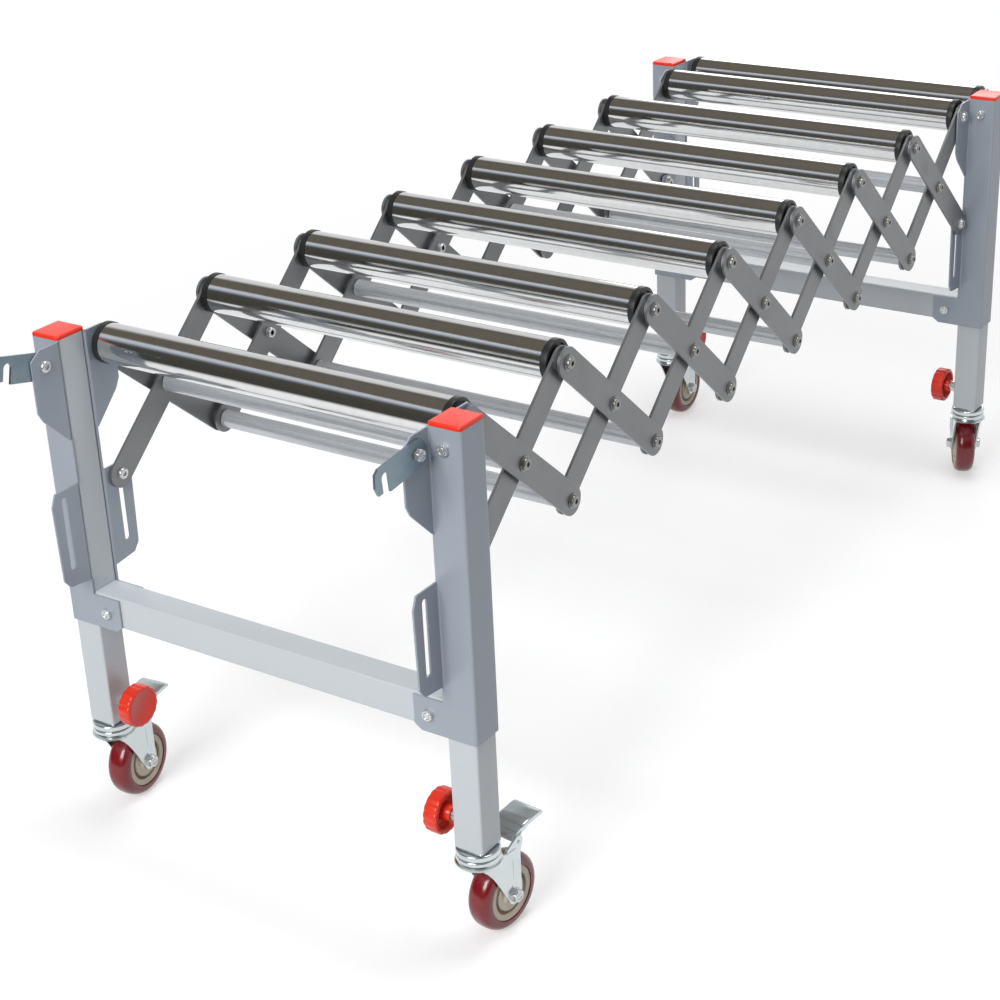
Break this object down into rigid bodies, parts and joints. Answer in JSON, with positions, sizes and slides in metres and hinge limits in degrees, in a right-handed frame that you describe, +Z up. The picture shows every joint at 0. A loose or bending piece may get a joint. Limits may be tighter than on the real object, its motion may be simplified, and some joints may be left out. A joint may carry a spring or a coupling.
{
  "type": "flexible roller table",
  "caption": "Expandable roller table: folding scissor links carry free rollers between two end frames with telescoping legs, clamp knobs, swivel casters, brake pedals and coupling hooks.",
  "frame": {"origin": "on the floor under the middle of the opened table, hooks and casters included", "axes": "+X across the table towards its right-hand legs seen from the hooks' end, +Y along the table away from the hooks, +Z up"},
  "size_m": [0.6436, 1.7078, 0.6796],
  "materials": {
    "channel": "satin silver-grey",
    "leg_tube": "light silver paint",
    "inner_leg": "bright zinc",
    "link": "satin grey steel",
    "roller": "polished tube with black plastic end rings",
    "zinc": "bluish zinc",
    "fastener": "bright zinc",
    "orange": "moulded, glossy",
    "tyre": "dark red polyurethane, glossy",
    "hub": "moulded, beige"
  },
  "bodies": {
    "near_frame": {"near_channels": "channel", "near_leg_tubes": "leg_tube", "near_crossbar": "leg_tube", "near_caps": "orange", "near_bolts": "fastener"},
    "far_frame": {"far_channels": "channel", "far_leg_tubes": "leg_tube", "far_crossbar": "leg_tube", "far_caps": "orange", "far_bolts": "fastener"},
    "outer_links_1": {"outer_links_1": "link"},
    "inner_links_1": {"inner_links_1": "link"},
    "outer_links_2": {"outer_links_2": "link"},
    "inner_links_2": {"inner_links_2": "link"},
    "outer_links_3": {"outer_links_3": "link"},
    "inner_links_3": {"inner_links_3": "link"},
    "outer_links_4": {"outer_links_4": "link"},
    "inner_links_4": {"inner_links_4": "link"},
    "outer_links_5": {"outer_links_5": "link"},
    "inner_links_5": {"inner_links_5": "link"},
    "outer_links_6": {"outer_links_6": "link"},
    "inner_links_6": {"inner_links_6": "link"},
    "outer_links_7": {"outer_links_7": "link"},
    "inner_links_7": {"inner_links_7": "link"},
    "roller_1": {"roller_1": "roller"},
    "roller_2": {"roller_2": "roller"},
    "roller_3": {"roller_3": "roller"},
    "roller_4": {"roller_4": "roller"},
    "roller_5": {"roller_5": "roller"},
    "roller_6": {"roller_6": "roller"},
    "roller_7": {"roller_7": "roller"},
    "roller_8": {"roller_8": "roller"},
    "roller_9": {"roller_9": "roller"},
    "inner_leg_near_left": {"inner_leg_near_left": "inner_leg"},
    "knob_near_left": {"knob_near_left": "orange"},
    "fork_near_left": {"fork_near_left": "zinc"},
    "wheel_near_left": {"tyre_near_left": "tyre", "hub_near_left": "hub"},
    "inner_leg_near_right": {"inner_leg_near_right": "inner_leg"},
    "knob_near_right": {"knob_near_right": "orange"},
    "fork_near_right": {"fork_near_right": "zinc"},
    "wheel_near_right": {"tyre_near_right": "tyre", "hub_near_right": "hub"},
    "inner_leg_far_left": {"inner_leg_far_left": "inner_leg"},
    "knob_far_left": {"knob_far_left": "orange"},
    "fork_far_left": {"fork_far_left": "zinc"},
    "wheel_far_left": {"tyre_far_left": "tyre", "hub_far_left": "hub"},
    "inner_leg_far_right": {"inner_leg_far_right": "inner_leg"},
    "knob_far_right": {"knob_far_right": "orange"},
    "fork_far_right": {"fork_far_right": "zinc"},
    "wheel_far_right": {"tyre_far_right": "tyre", "hub_far_right": "hub"},
    "brake_pedal_left": {"brake_pedal_left": "zinc"},
    "hook_left": {"hook_left": "zinc"},
    "brake_pedal_right": {"brake_pedal_right": "zinc"},
    "hook_right": {"hook_right": "zinc"}
  },
  "joints": [
    {"name": "table_fold", "type": "hinge", "parent": "near_frame", "child": "outer_links_1", "pos_m": [0, -0.68257, 0.647], "axis": [-1, 0, 0], "range_deg": [0, 36.5]},
    {"name": "crossing_1", "type": "hinge", "parent": "outer_links_1", "child": "inner_links_1", "pos_m": [0, -0.58257, 0.559], "axis": [-1, 0, 0], "range_deg": [-73, 0]},
    {"name": "upper_pivot_2", "type": "hinge", "parent": "inner_links_1", "child": "outer_links_2", "pos_m": [0, -0.48257, 0.647], "axis": [-1, 0, 0], "range_deg": [0, 73]},
    {"name": "crossing_2", "type": "hinge", "parent": "outer_links_2", "child": "inner_links_2", "pos_m": [0, -0.38257, 0.559], "axis": [-1, 0, 0], "range_deg": [-73, 0]},
    {"name": "upper_pivot_3", "type": "hinge", "parent": "inner_links_2", "child": "outer_links_3", "pos_m": [0, -0.28257, 0.647], "axis": [-1, 0, 0], "range_deg": [0, 73]},
    {"name": "crossing_3", "type": "hinge", "parent": "outer_links_3", "child": "inner_links_3", "pos_m": [0, -0.18257, 0.559], "axis": [-1, 0, 0], "range_deg": [-73, 0]},
    {"name": "upper_pivot_4", "type": "hinge", "parent": "inner_links_3", "child": "outer_links_4", "pos_m": [0, -0.08257, 0.647], "axis": [-1, 0, 0], "range_deg": [0, 73]},
    {"name": "crossing_4", "type": "hinge", "parent": "outer_links_4", "child": "inner_links_4", "pos_m": [0, 0.01743, 0.559], "axis": [-1, 0, 0], "range_deg": [-73, 0]},
    {"name": "upper_pivot_5", "type": "hinge", "parent": "inner_links_4", "child": "outer_links_5", "pos_m": [0, 0.11743, 0.647], "axis": [-1, 0, 0], "range_deg": [0, 73]},
    {"name": "crossing_5", "type": "hinge", "parent": "outer_links_5", "child": "inner_links_5", "pos_m": [0, 0.21743, 0.559], "axis": [-1, 0, 0], "range_deg": [-73, 0]},
    {"name": "upper_pivot_6", "type": "hinge", "parent": "inner_links_5", "child": "outer_links_6", "pos_m": [0, 0.31743, 0.647], "axis": [-1, 0, 0], "range_deg": [0, 73]},
    {"name": "crossing_6", "type": "hinge", "parent": "outer_links_6", "child": "inner_links_6", "pos_m": [0, 0.41743, 0.559], "axis": [-1, 0, 0], "range_deg": [-73, 0]},
    {"name": "upper_pivot_7", "type": "hinge", "parent": "inner_links_6", "child": "outer_links_7", "pos_m": [0, 0.51743, 0.647], "axis": [-1, 0, 0], "range_deg": [0, 73]},
    {"name": "crossing_7", "type": "hinge", "parent": "outer_links_7", "child": "inner_links_7", "pos_m": [0, 0.61743, 0.559], "axis": [-1, 0, 0], "range_deg": [-73, 0]},
    {"name": "far_frame_pivot", "type": "hinge", "parent": "inner_links_7", "child": "far_frame", "pos_m": [0, 0.71743, 0.647], "axis": [-1, 0, 0], "range_deg": [0, 36.5]},
    {"name": "roller_spin_1", "type": "hinge", "parent": "near_frame", "child": "roller_1", "pos_m": [0, -0.68257, 0.647], "axis": [1, 0, 0], "continuous": true},
    {"name": "roller_spin_2", "type": "hinge", "parent": "outer_links_2", "child": "roller_2", "pos_m": [0, -0.48257, 0.647], "axis": [1, 0, 0], "continuous": true},
    {"name": "roller_spin_3", "type": "hinge", "parent": "outer_links_3", "child": "roller_3", "pos_m": [0, -0.28257, 0.647], "axis": [1, 0, 0], "continuous": true},
    {"name": "roller_spin_4", "type": "hinge", "parent": "outer_links_4", "child": "roller_4", "pos_m": [0, -0.08257, 0.647], "axis": [1, 0, 0], "continuous": true},
    {"name": "roller_spin_5", "type": "hinge", "parent": "outer_links_5", "child": "roller_5", "pos_m": [0, 0.11743, 0.647], "axis": [1, 0, 0], "continuous": true},
    {"name": "roller_spin_6", "type": "hinge", "parent": "outer_links_6", "child": "roller_6", "pos_m": [0, 0.31743, 0.647], "axis": [1, 0, 0], "continuous": true},
    {"name": "roller_spin_7", "type": "hinge", "parent": "outer_links_7", "child": "roller_7", "pos_m": [0, 0.51743, 0.647], "axis": [1, 0, 0], "continuous": true},
    {"name": "roller_spin_8", "type": "hinge", "parent": "far_frame", "child": "roller_8", "pos_m": [0, 0.71743, 0.647], "axis": [1, 0, 0], "continuous": true},
    {"name": "roller_spin_9", "type": "hinge", "parent": "far_frame", "child": "roller_9", "pos_m": [0, 0.81443, 0.647], "axis": [1, 0, 0], "continuous": true},
    {"name": "leg_slide_near_left", "type": "slide", "parent": "near_frame", "child": "inner_leg_near_left", "axis": [0, 0, -1], "range_m": [0, 0.34]},
    {"name": "knob_turn_near_left", "type": "hinge", "parent": "near_frame", "child": "knob_near_left", "pos_m": [-0.249, -0.73107, 0.166], "axis": [1, 0, 0], "range_deg": [0, 720]},
    {"name": "caster_swivel_near_left", "type": "hinge", "parent": "inner_leg_near_left", "child": "fork_near_left", "pos_m": [-0.2892, -0.73107, 0.126], "axis": [0, 0, 1], "continuous": true},
    {"name": "wheel_spin_near_left", "type": "hinge", "parent": "fork_near_left", "child": "wheel_near_left", "pos_m": [-0.29317, -0.69327, 0.05], "axis": [0.9945, 0.1045, 0], "continuous": true},
    {"name": "brake_press_left", "type": "hinge", "parent": "fork_near_left", "child": "brake_pedal_left", "pos_m": [-0.29411, -0.68432, 0.1205], "axis": [0.9945, 0.1045, 0], "range_deg": [-12, 0]},
    {"name": "leg_slide_near_right", "type": "slide", "parent": "near_frame", "child": "inner_leg_near_right", "axis": [0, 0, -1], "range_m": [0, 0.34]},
    {"name": "knob_turn_near_right", "type": "hinge", "parent": "near_frame", "child": "knob_near_right", "pos_m": [0.249, -0.73107, 0.166], "axis": [1, 0, 0], "range_deg": [0, 720]},
    {"name": "caster_swivel_near_right", "type": "hinge", "parent": "inner_leg_near_right", "child": "fork_near_right", "pos_m": [0.2892, -0.73107, 0.126], "axis": [0, 0, 1], "continuous": true},
    {"name": "wheel_spin_near_right", "type": "hinge", "parent": "fork_near_right", "child": "wheel_near_right", "pos_m": [0.29317, -0.69327, 0.05], "axis": [0.9945, -0.1045, 0], "continuous": true},
    {"name": "brake_press_right", "type": "hinge", "parent": "fork_near_right", "child": "brake_pedal_right", "pos_m": [0.29411, -0.68432, 0.1205], "axis": [0.9945, -0.1045, 0], "range_deg": [-12, 0]},
    {"name": "leg_slide_far_left", "type": "slide", "parent": "far_frame", "child": "inner_leg_far_left", "axis": [0, 0, -1], "range_m": [0, 0.34]},
    {"name": "knob_turn_far_left", "type": "hinge", "parent": "far_frame", "child": "knob_far_left", "pos_m": [-0.249, 0.76593, 0.166], "axis": [1, 0, 0], "range_deg": [0, 720]},
    {"name": "caster_swivel_far_left", "type": "hinge", "parent": "inner_leg_far_left", "child": "fork_far_left", "pos_m": [-0.2892, 0.76593, 0.126], "axis": [0, 0, 1], "continuous": true},
    {"name": "wheel_spin_far_left", "type": "hinge", "parent": "fork_far_left", "child": "wheel_far_left", "pos_m": [-0.2892, 0.80393, 0.05], "axis": [1, 0, 0], "continuous": true},
    {"name": "leg_slide_far_right", "type": "slide", "parent": "far_frame", "child": "inner_leg_far_right", "axis": [0, 0, -1], "range_m": [0, 0.34]},
    {"name": "knob_turn_far_right", "type": "hinge", "parent": "far_frame", "child": "knob_far_right", "pos_m": [0.249, 0.76593, 0.166], "axis": [1, 0, 0], "range_deg": [0, 720]},
    {"name": "caster_swivel_far_right", "type": "hinge", "parent": "inner_leg_far_right", "child": "fork_far_right", "pos_m": [0.2892, 0.76593, 0.126], "axis": [0, 0, 1], "continuous": true},
    {"name": "wheel_spin_far_right", "type": "hinge", "parent": "fork_far_right", "child": "wheel_far_right", "pos_m": [0.27136, 0.79949, 0.05], "axis": [0.8829, 0.4695, 0], "continuous": true},
    {"name": "hook_swing_left", "type": "hinge", "parent": "near_frame", "child": "hook_left", "pos_m": [-0.2723, -0.77957, 0.647], "axis": [1, 0, 0], "range_deg": [-50, 100]},
    {"name": "hook_swing_right", "type": "hinge", "parent": "near_frame", "child": "hook_right", "pos_m": [0.2723, -0.77957, 0.647], "axis": [1, 0, 0], "range_deg": [-70, 80]}
  ],
  "couplings": [
    {"joint": "crossing_1", "follows": "table_fold", "ratio": -2},
    {"joint": "upper_pivot_2", "follows": "table_fold", "ratio": 2},
    {"joint": "crossing_2", "follows": "table_fold", "ratio": -2},
    {"joint": "upper_pivot_3", "follows": "table_fold", "ratio": 2},
    {"joint": "crossing_3", "follows": "table_fold", "ratio": -2},
    {"joint": "upper_pivot_4", "follows": "table_fold", "ratio": 2},
    {"joint": "crossing_4", "follows": "table_fold", "ratio": -2},
    {"joint": "upper_pivot_5", "follows": "table_fold", "ratio": 2},
    {"joint": "crossing_5", "follows": "table_fold", "ratio": -2},
    {"joint": "upper_pivot_6", "follows": "table_fold", "ratio": 2},
    {"joint": "crossing_6", "follows": "table_fold", "ratio": -2},
    {"joint": "upper_pivot_7", "follows": "table_fold", "ratio": 2},
    {"joint": "crossing_7", "follows": "table_fold", "ratio": -2},
    {"joint": "far_frame_pivot", "follows": "table_fold", "ratio": 1}
  ]
}
